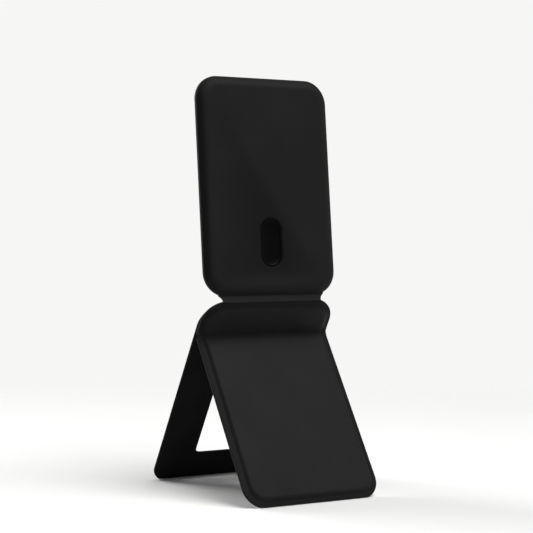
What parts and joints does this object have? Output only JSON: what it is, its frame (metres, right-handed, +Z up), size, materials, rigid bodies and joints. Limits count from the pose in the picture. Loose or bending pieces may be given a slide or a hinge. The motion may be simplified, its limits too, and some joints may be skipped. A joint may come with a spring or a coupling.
{
  "type": "phone stand",
  "caption": "Fold-flat magnetic phone stand: a tilting head plate on a hinged A-frame with a windowed rear leg and a solid front leg, covered in black leather.",
  "frame": {"origin": "centre of the footprint on the table, under the valley crease", "axes": "+Z up, +Y towards the rear leg's foot, +X along the hinge lines to the right as seen from the front"},
  "size_m": [0.062, 0.0855, 0.1704],
  "materials": {
    "soft_touch_leather": "matt black polyurethane leather, fine grain",
    "leather_lining": "matt black microfibre-backed leather",
    "spring_steel": "blackened spring steel",
    "fibre_board": "glass-fibre board",
    "carrier_plastic": "moulded ABS",
    "nickel_magnet": "nickel-plated neodymium",
    "insert_plastic": "satin black moulded insert"
  },
  "bodies": {
    "plate": {"plate_core": "spring_steel", "plate_lining": "leather_lining", "plate_back_cover": "soft_touch_leather", "middle_front_cover": "soft_touch_leather", "middle_board": "fibre_board", "valley_pin": "spring_steel", "neck_pin": "spring_steel", "neck_pin_cap_left": "spring_steel", "neck_pin_cap_right": "spring_steel", "neck_strip": "soft_touch_leather", "crease_strip": "soft_touch_leather"},
    "head": {"head_front_cover": "soft_touch_leather", "head_carrier": "carrier_plastic", "magnet_shield_ring": "spring_steel", "ring_magnet_01": "nickel_magnet", "ring_magnet_02": "nickel_magnet", "ring_magnet_03": "nickel_magnet", "ring_magnet_04": "nickel_magnet", "ring_magnet_05": "nickel_magnet", "ring_magnet_06": "nickel_magnet", "ring_magnet_07": "nickel_magnet", "ring_magnet_08": "nickel_magnet", "ring_magnet_09": "nickel_magnet", "ring_magnet_10": "nickel_magnet", "ring_magnet_11": "nickel_magnet", "ring_magnet_12": "nickel_magnet", "ring_magnet_13": "nickel_magnet", "ring_magnet_14": "nickel_magnet", "ring_magnet_15": "nickel_magnet", "ring_magnet_16": "nickel_magnet", "ring_magnet_17": "nickel_magnet", "ring_magnet_18": "nickel_magnet", "alignment_insert": "insert_plastic", "alignment_magnet": "nickel_magnet", "head_stiffener": "fibre_board", "head_hinge_plate": "spring_steel", "head_back_cover": "soft_touch_leather", "torque_sleeve_left": "spring_steel", "torque_sleeve_right": "spring_steel"},
    "front_leg": {"leg_front_cover": "soft_touch_leather", "leg_board": "fibre_board", "leg_hinge_leaf": "spring_steel", "leg_rivet_1": "spring_steel", "leg_rivet_2": "spring_steel", "leg_rivet_3": "spring_steel", "latch_magnet_left": "nickel_magnet", "latch_magnet_right": "nickel_magnet", "leg_back_cover": "soft_touch_leather"}
  },
  "joints": [
    {"name": "neck_tilt", "type": "hinge", "parent": "plate", "child": "head", "pos_m": [0, -0.00577, 0.07845], "axis": [-1, 0, 0], "range_deg": [-37.4, 142.5], "deforming": ["neck_strip"]},
    {"name": "leg_fold", "type": "hinge", "parent": "plate", "child": "front_leg", "pos_m": [0, 0.00149, 0.06412], "axis": [1, 0, 0], "range_deg": [-15, 65.5], "deforming": ["crease_strip"]}
  ]
}
